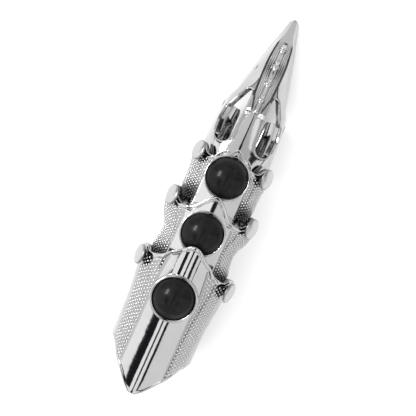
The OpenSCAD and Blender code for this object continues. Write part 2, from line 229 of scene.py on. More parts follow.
knuckle = Knuckle(
    "knuckle",
    sections=[
        (-31, 7.7, 5.4, 9.4, 0, 10.1, -4.4), (-27, 8.0, 5.4, 9.4, 0, 10.1, -4.4),
        (-20, 8.0, 5.4, 9.5, 0, 10.15, -4.4), (-12, 8.0, 5.4, 9.8, 0, 10.35, -4.4),
        (-4, 8.0, 5.4, 10.6, 0, 11.0, -4.4), (0, 8.0, 5.1, 11.0, 0, 11.45, -4.2),
        (3, 8.0, 4.8, 11.0, 0, 11.45, -3.6), (8, 8.0, 4.0, 11.0, 0, 11.45, -3.6)],
    edges=[
        (0, -30.9, 8.15), (0.15, -30.8, 8.05), (0.3, -30.25, 7.85), (0.45, -29.55, 7.4),
        (0.6, -28.7, 6.75), (0.8, -27.4, 5.9), (1, -26.1, 5.0), (1.2, -25.0, 3.2),
        (1.4, -23.8, 2.35), (1.6, -22.6, 1.9), (1.72, -22.0, 1.85), (1.85, -21.7, 2.5),
        (2, -21.4, 2.9), (2.33, -21.1, 2.7), (2.67, -21.0, 1.4), (3, -21.0, -2.0)],
    ridge=(25, 2.2), step=[(0, 0.28)], shoulder=[(0, 0.66)])

# %% Middle plate
middle = Plate(
    "middle",
    sections=[
        (-2.3, 4.9, 5.7, 8.65, 0, 9.6, -3.0), (1.5, 5.0, 5.8, 8.75, 0, 9.7, -3.4),
        (3.2, 5.2, 5.9, 9.3, 0, 9.85, -3.8), (5, 5.3, 5.9, 9.0, 0, 9.6, -3.8),
        (7.5, 5.3, 5.9, 8.7, 0, 9.3, -3.8), (9.5, 5.3, 5.9, 8.85, 0, 9.75, -3.8),
        (11.2, 5.3, 5.9, 9.3, 0, 10.6, -3.8), (13.2, 5.3, 5.9, 9.85, 0, 11.2, -3.6),
        (16.1, 5.3, 5.6, 10.1, 0, 11.4, -3.3), (20.5, 5.3, 5.0, 10.0, 0, 11.1, -2.6)],
    edges=[
        (0, -1.4, 20.1), (0.15, -1.4, 19.9), (0.3, -1.4, 19.4), (0.5, -1.4, 18.3),
        (0.7, -1.4, 16.8), (0.9, -1.2, 15.6), (1.15, -0.9, 15.3), (1.35, -0.7, 15.4),
        (1.6, -0.7, 16.1), (1.85, -1.3, 17.8), (2, -2.0, 18.6), (2.33, -2.2, 18.5),
        (2.67, -1.8, 17.4), (3, -0.8, 15.0)],
    ridge=(16, 3), step=[(0, 0.15)], shoulder=[(0, 0.66)])

# %% Front plate
front = Plate(
    "front",
    sections=[
        (-2.2, 3.8, 5.25, 7.65, 0, 8.7, -2.8), (1.2, 3.85, 5.25, 7.8, 0, 8.85, -3.3),
        (2.8, 4.0, 5.25, 8.4, 0, 9.2, -3.6), (5, 4.0, 5.25, 8.35, 0, 9.3, -3.6),
        (8, 4.0, 5.25, 8.35, 0, 9.35, -3.6), (9.7, 4.0, 5.25, 8.5, 0, 9.6, -3.5),
        (12.15, 4.0, 5.0, 8.6, 0, 9.6, -3.3), (16, 4.0, 4.6, 8.5, 0, 9.4, -2.6)],
    edges=[
        (0, 0.7, 15.9), (0.15, 0.65, 15.4), (0.3, 0.5, 14.8), (0.6, -0.2, 13.3),
        (0.9, -0.7, 12.4), (1.2, -0.8, 12.2), (1.4, -0.6, 12.5), (1.7, -0.7, 13.8),
        (1.85, -1.3, 14.4), (2, -2.0, 14.7), (2.33, -2.2, 14.6), (2.67, -1.8, 13.6),
        (3, -0.8, 11.4)],
    ridge=(14, 3), step=[(0, 0.15)], shoulder=[(0, 0.66)])

# %% Claw
CHANNEL = [(12.6, 0), (14, -0.45), (32.4, -0.4), (34.6, 0)]
TIP_START, TIP_END, TIP_Z = 39.5, 40.6, -6.8
HOLLOW_END, SOLID_FROM = 30, 34
GROOVE_PITCH, GROOVE_DEEP = 0.46, 0.045
WALL = 1.1


class Claw(Plate):
    """The claw closes to a round tip, and its hollow closes before that."""

    def middle(self, y):
        high, low = self.crest(y), self.columns[5](y)
        return Vector((0, high + 0.6 * (low - high)))

    def section(self, y, place):
        p = super().section(y, place)
        if place < 1 and 13 < y < 34.5:
            groove = math.cos(2 * math.pi * p.x / GROOVE_PITCH)
            p.y += GROOVE_DEEP * groove * smooth_step(13, 15, y) * smooth_step(34.5, 32, y)
        if y > TIP_START:
            near = (y - TIP_START) / (TIP_END - TIP_START)
            share = math.sqrt(max(0, 1 - near * near))
            p = Vector((p.x * share, TIP_Z + (p.y - TIP_Z) * share))
        return p

    def inside(self, y, place):
        p, middle = self.section(y, abs(place)), self.middle(y)
        size = max(1e-6, (p - middle).length)
        hollow = p + (middle - p) * min(WALL, 0.45 * size) / size
        low = self.columns[5](y)
        under = Vector((0.8 * p.x, low + 0.1 * (p.y - low)))
        q = hollow.lerp(under, smooth_step(HOLLOW_END, SOLID_FROM, y))
        return Vector((math.copysign(q.x, place), y, q.y))


claw = Claw(
    "claw",
    sections=[
        (-2.2, 2.9, 2.6, 6.1, 0, 7.1, -2.8), (1.2, 2.95, 2.6, 6.4, 0, 7.6, -4.6),
        (3.4, 3.0, 2.2, 7.2, -0.4, 8.45, -6.2), (5.2, 3.1, 1.0, 7.5, -0.6, 8.55, -6.4),
        (11.3, 2.9, 0.7, 7.3, -0.8, 8.3, -6.4), (14.9, 2.5, 1.3, 7.0, -1.1, 8.0, -6.4),
        (16.5, 2.25, 1.7, 6.7, -1.3, 7.75, -6.4), (18.2, 1.9, 2.1, 6.1, -1.6, 6.85, -6.4),
        (20.8, 1.3, 2.3, 5.4, -2.3, 6.2, -6.4), (26.1, -0.3, 2.4, 4.2, -3.7, 4.85, -6.6),
        (32.4, -2.8, 1.9, 2.75, -5.3, 3.2, -6.9), (36.5, -4.7, 0.9, 1.75, -6.2, 2.05, -7.15),
        (38.6, -5.7, 0.65, 1.35, -6.65, 1.5, -7.34), (39.8, -6.25, 0.5, 1.05, -6.85, 1.15, -7.3),
        (40.35, -6.5, 0.35, 0.7, -6.9, 0.75, -7.15), (40.6, -6.65, 0.15, 0.35, -6.9, 0.4, -7.1)],
    edges=[
        (0, 2.5, 40.6), (1, 2.0, 40.6), (1.3, 0.9, 40.6), (1.55, -0.4, 40.6),
        (1.8, -0.7, 40.6), (2, -1.6, 40.6), (2.33, -1.8, 40.6), (2.67, -1.2, 40.6),
        (3, 1.6, 40.6)],
    ridge=(18, 1.6), step=CHANNEL,
    shoulder=[(1, 0.79), (4, 0.84), (11, 0.8), (20, 0.68), (30, 0.56)])
print("crests at the hinges:",
      [round(plate.crest(0), 2) for plate in (knuckle, middle, front, claw)])

# %% [markdown]
# ## Shader maths written as Python
# A material is a small graph of nodes. Written out link by link it is long and hard to read, so
# a wrapper round a socket lets plain arithmetic add the Math nodes, and one method makes any
# other node. The settings of a node are given before the values of its sockets, because some
# settings change which sockets there are.

# %% A socket that does arithmetic
class Socket:
    """One output of a node."""

    def __init__(self, recipe, output):
        self.recipe, self.output = recipe, output

    def maths(self, operation, a, b):
        return self.recipe.node("ShaderNodeMath", {"operation": operation}, {0: a, 1: b})

    def __add__(self, other):
        return self.maths("ADD", self, other)

    def __sub__(self, other):
        return self.maths("SUBTRACT", self, other)

    def __mul__(self, other):
        return self.maths("MULTIPLY", self, other)

    def __rsub__(self, other):
        return self.maths("SUBTRACT", other, self)

    __radd__, __rmul__ = __add__, __mul__


# %% A recipe for one finish
class Recipe:
    """A material and the nodes that it is mixed from."""

    def __init__(self, name):
        self.material = bpy.data.materials.new(name)
        self.material.use_nodes = True
        self.tree = self.material.node_tree
        self.shader = self.tree.nodes["Principled BSDF"]

    def node(self, kind, settings=None, sockets=None, output=0):
        made = self.tree.nodes.new(kind)
        for name, value in (settings or {}).items():
            setattr(made, name, value)
        for name, value in (sockets or {}).items():
            self.feed(made.inputs[name], value)
        return Socket(self, made.outputs[output])

    def feed(self, socket, value):
        if isinstance(value, Socket):
            self.tree.links.new(value.output, socket)
        else:
            socket.default_value = value

    def mix(self, share, a, b):
        """A colour between two others."""
        return self.node("ShaderNodeMix", {"data_type": "RGBA"}, {0: share, 6: a, 7: b}, output=2)

    def noise(self, scale, detail=2.0, stretch=(1, 1, 1)):
        where = self.node("ShaderNodeTexCoord", output="Object")
        where = self.node("ShaderNodeMapping", None, {"Vector": where, "Scale": stretch})
        return self.node("ShaderNodeTexNoise", None,
                         {"Vector": where, "Scale": scale, "Detail": detail})

    def painted(self, name):
        """A value that was painted on the mesh's points."""
        return self.node("ShaderNodeAttribute", {"attribute_name": name}, output="Fac")

    def bump(self, height, distance, strength=1.0):
        return self.node("ShaderNodeBump", None,
                         {"Height": height, "Distance": distance, "Strength": strength})

    def set(self, **sockets):
        for name, value in sockets.items():
            self.feed(self.shader.inputs[name.replace("_", " ")], value)
        return self.material


print("a socket times a number adds a Math node")

# %% [markdown]
# ## Bright silver
# The casting is plated and polished to a near mirror, so nearly all of its look is what it
# reflects. What makes it metal rather than a perfect mirror is small: faint clouds in the
# polish, hairlines along the finger, and dark tarnish in the recesses, with painted shade
# mixed into it. Both are painted on the mesh while it is made, because only then is it known
# what is a recess. Beads are rubbed by every touch, and their silver is painted brighter than
# the rest as a sheen.

# %% Silver, polished and satin
BRIGHT, CLOUDED = (0.43, 0.43, 0.433, 1), (0.33, 0.33, 0.336, 1)
# the beads' silver is brighter: wear, with a painted sheen
BEAD_WORN_SHEEN, BEAD_WORN_SHEEN_CLOUDED = (0.56, 0.56, 0.556, 1), (0.46, 0.46, 0.46, 1)
# near black: tarnish, and painted shade where the mesh is painted dark
TARNISH_AND_SHADE = (0.035, 0.033, 0.034, 1)


def silver(name, rough, bright=BRIGHT, clouded=CLOUDED):
    recipe = Recipe(name)
    clouds = recipe.noise(260, 3)
    hairlines = recipe.noise(900, 2, stretch=(1, 0.08, 1))
    grain = recipe.noise(5200, 1)
    tarnish_and_shade, satin = recipe.painted("tarnish_and_shade"), recipe.painted("satin")
    colour = recipe.mix(clouds * 0.6, bright, clouded)
    # mixes in tarnish and painted shade where the mesh is painted dark
    colour = recipe.mix(tarnish_and_shade, colour, TARNISH_AND_SHADE)
    height = clouds * 0.9 + grain * (0.02 + satin * 0.5) + hairlines * 0.04
    return recipe.set(
        Base_Color=colour, Metallic=1.0,
        Roughness=rough + clouds * 0.05 + satin * 0.22 + tarnish_and_shade * 0.2,
        Normal=recipe.bump(height, 0.00004))


polished = silver("polished silver", 0.05)
beaded = silver("beaded silver", 0.16, BEAD_WORN_SHEEN, BEAD_WORN_SHEEN_CLOUDED)
satin_metal = silver("rivet silver", 0.2)

# %% [markdown]
# ## Onyx
# The stones are opaque and glossy. Black glass would be too even: real onyx has faint grey
# bands, and a worn stone has smudges that blur its reflection. A thin clear coat over the blurred
# one keeps a small sharp highlight in the middle of the haze.

# %% Black stone
def onyx():
    recipe = Recipe("black onyx")
    bands = recipe.noise(140, 3, stretch=(1, 0.3, 1))
    smudges = recipe.noise(420, 2)
    colour = recipe.mix(bands, (0.002, 0.002, 0.0022, 1), (0.005, 0.005, 0.0055, 1))
    return recipe.set(Base_Color=colour, Roughness=0.28 + smudges * 0.1, Specular_IOR_Level=0.07,
                      Coat_Weight=0.1)


stone_finish = onyx()
print("finishes:", [m.name for m in (polished, beaded, satin_metal, stone_finish)])

# %% [markdown]
# ## From a mesh in millimetres to a piece of the ring
# Every piece is shaped in its plate's own frame. A last step moves it into the ring's metres,
# gives it its finish, and lets it ride with its plate. Two painted values, and where each point
# lies on its plate, are layers that every mesh starts with, so that meshes can be joined.

# %% Start and finish a piece
PAINTS = ("tarnish_and_shade", "satin", "place", "along")


def blank():
    mesh = bmesh.new()
    for name in PAINTS:
        mesh.verts.layers.float.new(name)
    return mesh


def join(mesh, other):
    """Adds other to mesh."""
    passing = bpy.data.meshes.new("passing")
    other.to_mesh(passing)
    mesh.from_mesh(passing)
    bpy.data.meshes.remove(passing)
    other.free()
    return mesh


def piece(mesh, name, body, finish, nodes=()):
    data = bpy.data.meshes.new(name)
    mesh.transform(plate_matrix(body))
    mesh.to_mesh(data)
    mesh.free()
    data.polygons.foreach_set("use_smooth", [True] * len(data.polygons))
    data.materials.append(finish)
    made = bpy.data.objects.new(name, data)
    bpy.context.scene.collection.objects.link(made)
    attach(made, body)
    if nodes:
        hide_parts(*nodes)
    print(f"{name}: {len(data.polygons)} faces")


# %% [markdown]
# ## A skin bent from a flat grid
# A cast plate could be carved from a block or extruded from its section, but its section changes
# along the finger and its edge runs in curves. A flat grid is simpler: its columns become places
# round the section, its rows run from the rear edge to the front edge, and moving each point to
# where the two tables put it bends the whole sheet into shape at once. The last rows before the
# front edge rise into the rounded rim.

# %% Columns and rows of the grid
def spread(start, end, count):
    return [start + (end - start) * i / count for i in range(count)]


half = spread(0, 0.97, 22) + [0.97, 1, 1.0001, 1.03] + spread(1.06, 2, 26) + spread(2, 3, 11) + [3]
columns = [-c for c in reversed(half[1:])] + half
RIM_W, RIM_H = 1.0, 0.25
# Rows of both rims: distance from the edge, in rim widths ahead and mm at the rear, and height,
# in rim heights
rim_rows = [(0, 0.62), (0.2, 0.95), (0.4, 1), (0.6, 0.95), (0.78, 0.75), (0.92, 0.3), (1.05, 0),
            (1.3, 0)]
tail_rows = [(0, 0.1), (0.2, 0.28), (0.4, 0.3), (0.6, 0.12), (0.75, 0), (1.0, 0)]


def slant(edge, plate, place):
    """How much longer a step along the finger is than one square to the edge."""
    p, q = max(0, place - 0.04), min(3, place + 0.04)
    across = (plate.section(edge(q), q) - plate.section(edge(p), p)).length
    return min(2.2, math.hypot(1, (edge(q) - edge(p)) / max(across, 0.05)))


def row_at(plate, place, row):
    """y and lift of a row: ('rear', k), ('between', share) or ('front', k)."""
    kind, k = row
    place = abs(place)
    rear, ahead = plate.rear(place), plate.front(place)
    rear_slant, front_slant = slant(plate.rear, plate, place), slant(plate.front, plate, place)
    if kind == "rear":
        return rear + tail_rows[k][0] * rear_slant, RIM_H * tail_rows[k][1]
    if kind == "front":
        return ahead - rim_rows[k][0] * RIM_W * front_slant, RIM_H * rim_rows[k][1]
    low = rear + tail_rows[-1][0] * rear_slant
    high = ahead - rim_rows[-1][0] * RIM_W * front_slant
    return low + k * (high - low), 0


def rows_for(count):
    between = [("between", (i + 1) / (count + 1)) for i in range(count)]
    return ([("rear", k) for k in range(len(tail_rows))] + between
            + [("front", k) for k in reversed(range(len(rim_rows)))])


print(len(columns), "columns")

# %% [markdown]
# ## Give the skin its thickness
# Extruding all the faces at once, and keeping the first ones, makes a closed wall: the new faces
# are the outside, and the first ones, which the operator turns round, are moved in to be the
# inside. Where the wall's edge meets the two skins, a narrow bevel takes the sharpness off, as
# tumbling and polishing do.

# %% Bend, thicken and round a skin
def flat_grid(columns, rows):
    mesh = blank()
    bmesh.ops.create_grid(mesh, x_segments=len(columns) - 1, y_segments=len(rows) - 1, size=1.0)
    grid = {}
    for v in mesh.verts:
        i = round((v.co.x + 1) / 2 * (len(columns) - 1))
        j = round((v.co.y + 1) / 2 * (len(rows) - 1))
        grid[v] = (columns[i], rows[j])
    return mesh, grid


def thicken(mesh, inner_place):
    """inner_place gives each first point its place on the inside."""
    first = list(mesh.verts)
    inner = [inner_place(v) for v in first]
    before = set(mesh.faces)
    made = bmesh.ops.extrude_face_region(mesh, geom=mesh.faces[:], use_keep_orig=True)
    outside = {g for g in made["geom"] if isinstance(g, bmesh.types.BMFace)}
    for v, place in zip(first, inner):
        v.co = place
    return [f for f in mesh.faces if f not in before and f not in outside]


def round_over(mesh, rim_faces, width, keep=lambda edge: True):
    rim = set(rim_faces)
    edges = [e for e in {e for f in rim for e in f.edges}
             if len(rim.intersection(e.link_faces)) == 1 and keep(e)]
    bmesh.ops.bevel(mesh, geom=edges, offset=width, segments=2, profile=0.5,
                    affect="EDGES", material=-1, clamp_overlap=True)


# %% [markdown]
# ## Paint shade, tarnish and satin
# Between the beads the ground is dull and dark: tarnish, with painted shade. The line beside each
# rim gets a painted shadow, and the step at the polished centre is painted darker. Where a plate
# dives under the one behind it, its ground gets painted shade and is darker still.

# %% A plate's skin
NOT_HIDDEN = -60
# painted darkness: tarnish with painted shade between the beads, painted shade where a plate is
# hidden, a painted shadow beside each rim, a darker line along the step
GROUND_TARNISH_AND_SHADE, HIDDEN_SHADE, UNDER_RIM_SHADOW, STEP_DARK = 0.32, 0.66, 0.5, 0.25
UNDER_RIMS = (("front", 6), ("rear", 4))
RIM_FADE = 1.3


def plate_skin(plate, count, satin_from, dark_until):
    """The rim runs level over the step at the centre's edge, and joins the flank by RIM_FADE."""
    rows = rows_for(count)
    mesh, grid = flat_grid(columns, rows)
    tarnish_and_shade, satin = [mesh.verts.layers.float[name] for name in PAINTS[:2]]
    inner = {}
    for v, (place, row) in grid.items():
        y, lift = row_at(plate, place, row)
        if abs(place) > 1:
            lift += plate.step(y) * smooth_step(RIM_FADE, 1, abs(place)) * min(1, lift / RIM_H)
        v.co = plate.point(y, place, lift)
        inner[v] = plate.point(y, place, -WALL)
        side = abs(place)
        ground = smooth_step(1.0, 1.03, side) * smooth_step(satin_from + 0.05, satin_from, side)
        inside_rim = row[0] == "between"
        hidden = smooth_step(dark_until, dark_until - 2.5, y)
        # painted shade and tarnish on the ground, stronger where the plate is hidden under the one
        # behind
        v[tarnish_and_shade] = ground * inside_rim * (GROUND_TARNISH_AND_SHADE + HIDDEN_SHADE * hidden)
        if row in UNDER_RIMS:
            v[tarnish_and_shade] = UNDER_RIM_SHADOW * ground
        if abs(side - 1.0001) < 0.01 and inside_rim:
            v[tarnish_and_shade] = STEP_DARK
        v[satin] = smooth_step(satin_from, satin_from + 0.1, side)
    rim_faces = thicken(mesh, lambda v: inner[v])
    round_over(mesh, rim_faces, 0.15)
    return mesh


# %% [markdown]
# ## A turned part
# Cups, stones, rivets and the claw's rod are all round, so each is a short outline that is spun
# once round an axis. The spin leaves its first and last points on top of each other and may turn
# the shape inside out, so the doubles are merged and the normals worked out again.

# %% Spin an outline
def turned(outline, steps=64, matrix=Matrix()):
    """outline: radius and height of each point, from the axis back to the axis or in a loop."""
    mesh = blank()
    points = [mesh.verts.new((r, 0, h)) for r, h in outline]
    edges = [mesh.edges.new(pair) for pair in zip(points, points[1:])]
    if outline[0][0] > 0 and outline[-1][0] > 0:
        edges.append(mesh.edges.new((points[-1], points[0])))
    bmesh.ops.spin(mesh, geom=points + edges, cent=(0, 0, 0), axis=(0, 0, 1),
                   angle=2 * math.pi, steps=steps, use_merge=True)
    bmesh.ops.remove_doubles(mesh, verts=mesh.verts[:], dist=1e-5)
    bmesh.ops.recalc_face_normals(mesh, faces=mesh.faces[:])
    mesh.transform(matrix)
    return mesh


def arc(centre, radius, start, end, count):
    """Points of an arc, with angles in degrees from the outward direction."""
    angles = [math.radians(start + (end - start) * i / count) for i in range(count + 1)]
    return [(centre[0] + radius * math.cos(a), centre[1] + radius * math.sin(a)) for a in angles]


# %% [markdown]
# ## Cups
# A cup is a short collar that is cast with its plate, with a rounded lip. Its stone is a dome, a
# slice of a ball, over a low straight girdle that the lip hides.

# %% Cups: y of the middle, outer radius, height of the rim, depth of the underside
cups = {"knuckle": (-5.4, 5.9, 8.5, 5.9), "middle": (10.5, 5.6, 5.75, 3.6),
        "front": (8.45, 5.55, 4.35, 2.2)}
STONE_R, DOME_H, SEAT, GIRDLE = 5.05, 3.0, 1.1, 0.2


def cup(body):
    y, outer, top, low = cups[body]
    inner = STONE_R + 0.04
    lip = (outer - inner) / 2
    outline = [(0, low), (outer - 0.3, low), (outer, low + 0.3)]
    outline += arc((outer - lip, top - lip), lip, 0, 180, 10)
    outline += [(inner, top - SEAT + 0.02), (0, top - SEAT + 0.02)]
    return turned(outline, 96, Matrix.Translation((0, y, 0)))


def cabochon(body):
    y, _, top, _ = cups[body]
    girdle = top - GIRDLE
    ball = (STONE_R ** 2 + DOME_H ** 2) / (2 * DOME_H)
    reach = math.degrees(math.asin(STONE_R / ball))
    dome = arc((0, girdle + DOME_H - ball), ball, 90, 90 - reach, 28)
    seat = top - SEAT + 0.06
    outline = dome + [(STONE_R, girdle - 0.25), (STONE_R - 0.15, seat), (0, seat)]
    mesh = turned(outline, 96, Matrix.Translation((0, y, 0)))
    piece(mesh, f"{body}_cabochon", body, stone_finish, [f"{body}_stone"])


for body in cups:
    cabochon(body)

# %% [markdown]
# ## Rivets
# Each hinge has two rivets. From above one sees the low dome of the head, tilted outwards, with
# a gap under it that is given painted shade. The shank goes through both ears and is spread to a
# small button inside.

# %% Rivets: half width at the inner ear, tilt, distance out to the outer ear's face, y
rivets = {"knuckle": (8.25, 22, 2.6, 0), "middle": (7.25, 29, 2.45, middle_span),
          "front": (5.85, 29, 2.4, front_span)}
HEAD_R, HEAD_H, SHANK_R, STAND = 2.55, 1.1, 0.8, 0.8
HEAD_EDGE, HEAD_BALL, HEAD_DARK = 0.32, 6.2, 0.45
BUTTON_R, BUTTON_H, BUTTON_STAND = 1.2, 0.3, 0.7


def rivet(body, side):
    """The head is painted darker towards its edge, and all that lies under the head gets painted
    shade.
    """
    half_width, tilt, face, y = rivets[body]
    face += STAND
    top, tail = face + HEAD_H, -WALL / 2 - BUTTON_STAND
    dome = arc((0, top - HEAD_BALL), HEAD_BALL, 90, 69.5, 8)
    outline = dome + arc((HEAD_R - HEAD_EDGE, face + HEAD_EDGE), HEAD_EDGE, 55, -80, 7)
    outline += [(SHANK_R + 0.25, face), (SHANK_R, face - 0.2), (SHANK_R, tail), (BUTTON_R, tail)]
    outline += arc((BUTTON_R - 0.1, tail - BUTTON_H + 0.1), 0.1, 0, -90, 3)
    outline += [(0, tail - BUTTON_H)]
    lean = Matrix.Rotation(math.radians(side * (90 - tilt)), 4, "Y")
    mesh = turned(outline, 40)
    tarnish_and_shade = mesh.verts.layers.float["tarnish_and_shade"]
    # painted: darker towards the head's edge, and painted shade on all that lies under the head
    for v in mesh.verts:
        near_edge = smooth_step(HEAD_R - 0.45, HEAD_R, v.co.xy.length)
        v[tarnish_and_shade] = HEAD_DARK * near_edge + (v.co.z < face + 0.02)
    mesh.transform(Matrix.Translation((side * half_width, y, 0)) @ lean)
    name = f"{body}_rivet_" + ("left" if side < 0 else "right")
    piece(mesh, name + "_head", body, satin_metal, nodes=[name])


for body in rivets:
    for side in (-1, 1):
        rivet(body, side)

# %% [markdown]
# ## Beading
# The flanks are covered with rows of small beads that were cast with the plate. A bead is two or
# three times smaller than a pinhead, so eight sides are enough. Each one is squashed, turned to
# the surface where it sits and sunk half way in. The rows are staggered, and they follow the
# section's places, so they draw in at the waist as the real ones do. Like the ground between
# them, beads that dive under the plate behind are given painted shade.

# %% Beads of one plate
def bead_places(plate, y, first, pitch, last):
    """Places at equal steps down the flank, measured over the surface."""
    found, place, gone = [], 1.03, 0.0
    before = plate.section(y, place)
    while place < last:
        place += 0.004
        here = plate.section(y, place)
        gone += (here - before).length
        before = here
        if gone >= first + pitch * len(found):
            found.append(place)
    return found


BEAD_SQUASH, BEAD_SHADE, FIRST_BEAD = 0.75, 0.85, 0.4


def beads(plate, y_mid, across, along, radius, last, dark_until):
    """across and along: pitch, in mm. last: the place where the beads end."""
    mesh = blank()
    tarnish_and_shade = mesh.verts.layers.float["tarnish_and_shade"]
    for k, place in enumerate(bead_places(plate, y_mid, FIRST_BEAD, across, last)):
        row = blank()
        low = plate.rear(place) + 0.75 * slant(plate.rear, plate, place) + radius
        high = plate.front(place) - RIM_W * slant(plate.front, plate, place) - radius
        start = math.ceil(low / along) + (0.5 if k % 2 else 0)
        for j in range(int((high - low) / along) + 2):
            y = (start + j) * along
            if not low <= y <= high:
                continue
            for side in (-1, 1):
                up = plate.outward(y, side * place)
                spot = Matrix.Translation(plate.point(y, side * place))
                turn = up.to_track_quat("Z", "Y").to_matrix().to_4x4()
                flat = Matrix.Diagonal((1, 1, BEAD_SQUASH, 1))
                bmesh.ops.create_uvsphere(row, u_segments=8, v_segments=6, radius=radius,
                                          matrix=spot @ turn @ flat)
        join(mesh, row)
    # painted shade on beads that dive under the plate behind
    for v in mesh.verts:
        v[tarnish_and_shade] = BEAD_SHADE * smooth_step(dark_until - 0.6, dark_until - 2.6, v.co.y)
    piece(mesh, f"{plate.body}_beads", plate.body, beaded)


beads(knuckle, -12, across=0.76, along=0.95, radius=0.29, last=1.86, dark_until=NOT_HIDDEN)
beads(middle, 8, across=0.72, along=0.75, radius=0.26, last=2.75, dark_until=5)
beads(front, 6, across=0.72, along=0.75, radius=0.26, last=2.75, dark_until=5)

# %% [markdown]
# ## The finger band
# Under the knuckle plate a split band goes round the finger. It is a flat bar bent to a circle:
# its end is spun about the finger's middle, the two open ends are closed, their corners are
# rounded with a wide bevel, and a narrow one softens every edge. A thicker part at the top joins
# it to the plate.

# %% A bar bent round the finger
def bent_bar(inner, outer, rear, ahead, drop, start, end, corner=0, dull=0.5, corners_from=-99):
    """start and end: angles in degrees, from straight down, round the finger's middle.

    corner: radius of the ends' corners, for those ahead of corners_from.
    """
    mesh = blank()
    turn = Matrix.Rotation(math.radians(start), 4, "Y")
    flat = [(inner, rear), (outer, rear), (outer, ahead), (inner, ahead)]
    points = [mesh.verts.new(turn @ Vector((0, y, -r))) for r, y in flat]
    edges = [mesh.edges.new((points[i], points[(i + 1) % 4])) for i in range(4)]
    steps = max(4, round(abs(end - start) / 4))
    bmesh.ops.spin(mesh, geom=points + edges, cent=(0, 0, 0), axis=(0, 1, 0),
                   angle=math.radians(end - start), steps=steps)
    bmesh.ops.holes_fill(mesh, edges=[e for e in mesh.edges if e.is_boundary], sides=4)
    bmesh.ops.recalc_face_normals(mesh, faces=mesh.faces[:])
    if corner:
        thick = outer - inner
        ends = [f for f in mesh.faces if abs(f.calc_area() - thick * (ahead - rear)) < 0.2]
        short = {e for f in ends for e in f.edges
                 if abs(e.calc_length() - thick) < 0.01 and e.verts[0].co.y > corners_from}
        bmesh.ops.bevel(mesh, geom=list(short), offset=corner, segments=6, profile=0.5,
                        affect="EDGES", material=-1)
    sharp = [e for e in mesh.edges if e.is_manifold and e.calc_face_angle() > 0.6]
    bmesh.ops.bevel(mesh, geom=sharp, offset=0.15, segments=2, profile=0.5,
                    affect="EDGES", material=-1)
    satin = mesh.verts.layers.float["satin"]
    for v in mesh.verts:
        v[satin] = dull
    mesh.transform(Matrix.Translation((0, 0, -drop)))
    return mesh


BAND_IN, BAND_OUT, BAND_GAP, BAND_CORNER = 8.9, 10.3, 7.0, 1.5
BAND_REAR, BAND_FRONT, BAND_DROP = -20.7, -8, 4
LINING_OUT, LINING_REACH = 10.95, 35
band_half_gap = math.degrees(math.asin(BAND_GAP / 2 / BAND_OUT))


def band_part(outer, start, end, corner=0):
    return bent_bar(BAND_IN, outer, BAND_REAR, BAND_FRONT, BAND_DROP, start, end, corner)


# %% Knuckle, middle and front plates
knuckle_mesh = join(plate_skin(knuckle, 90, 1.9, NOT_HIDDEN), cup("knuckle"))
join(knuckle_mesh, band_part(BAND_OUT, band_half_gap, 360 - band_half_gap, BAND_CORNER))
join(knuckle_mesh, band_part(LINING_OUT, 180 - LINING_REACH, 180 + LINING_REACH))
piece(knuckle_mesh, "knuckle_casting", "knuckle", polished, nodes=["knuckle_plate"])
middle_mesh = join(plate_skin(middle, 50, 2.9, 6), cup("middle"))
piece(middle_mesh, "middle_casting", "middle", polished, nodes=["middle_plate"])
front_mesh = join(plate_skin(front, 40, 2.9, 6), cup("front"))
piece(front_mesh, "front_casting", "front", polished, nodes=["front_plate"])

# %% [markdown]
# ## Windows in the claw
# Each window starts as a hole in the claw's grid, a little larger than the real one: faces inside
# the outline are deleted, the ragged border is drawn onto the outline, and the grid beside it is
# evened out. Extruding that border inwards, step by step down a quarter circle, rolls the metal
# into the window with a smooth rounded lip.

# %% Outline of a window, wrapped round circles: y, x and radius
window_circles = [(6, 5.2, 1.8), (9.5, 6.35, 0.95), (12.6, 5.9, 1), (10.5, 3.95, 1.1),
                  (14.5, 3.85, 1.1), (17.9, 3.5, 0.8)]
ROLL = 0.55


def window_outline():
    """Points of the wide outline, and the direction out of it at each."""
    ways = [Vector((math.cos(a), math.sin(a))) for a in spread(0, 2 * math.pi, 96)]
    spots = [(Vector((x, y)) + (r + ROLL) * way, way)
             for y, x, r in window_circles for way in ways]
    loop = [spots[i] for i in convex_hull_2d([spot for spot, _ in spots])]
    dense = []
    for (a, way_a), (b, way_b) in zip(loop, loop[1:] + loop[:1]):
        count = max(1, round((b - a).length / 0.06))
        dense += [(a.lerp(b, i / count), way_a.lerp(way_b, i / count).normalized())
                  for i in range(count)]
    return dense


window_edge = window_outline()


def in_window(p):
    inside = False
    for (a, _), (b, _) in zip(window_edge, window_edge[1:] + window_edge[:1]):
        if (a.y > p.y) != (b.y > p.y) and p.x < a.x + (p.y - a.y) / (b.y - a.y) * (b.x - a.x):
            inside = not inside
    return inside


print("window outline:", len(window_edge), "points")

# %% Find the way round a window
def place_of(x, y):
    """The place round the section that lies at x, for points of the roof."""
    low, high = 0.0, 2.0
    for _ in range(30):
        half_way = (low + high) / 2
        if claw.section(y, half_way).x < abs(x):
            low = half_way
        else:
            high = half_way
    return math.copysign(low, x)


def in_order(border):
    """The points of a closed border, one after another."""
    loop = list(border[0].verts)
    while True:
        ahead = [e.other_vert(loop[-1]) for e in loop[-1].link_edges if e.is_boundary]
        step = next(v for v in ahead if v is not loop[-2])
        if step is loop[0]:
            return loop
        loop.append(step)


def along_edge(spots):
    """Where each spot of a loop lies along the window's edge, evened out."""
    count = len(window_edge)
    at = [min(range(count), key=lambda i: (window_edge[i][0] - spot).length_squared)
          for spot in spots]
    for i in range(1, len(at)):
        at[i] = at[i - 1] + (at[i] - at[i - 1] + count / 2) % count - count / 2
    whole = count if at[-1] > at[0] else -count
    for _ in range(6):
        ring = [at[-1] - whole] + at + [at[0] + whole]
        at = [(a + 2 * b + c) / 4 for a, b, c in zip(ring, ring[1:], ring[2:])]
    return at


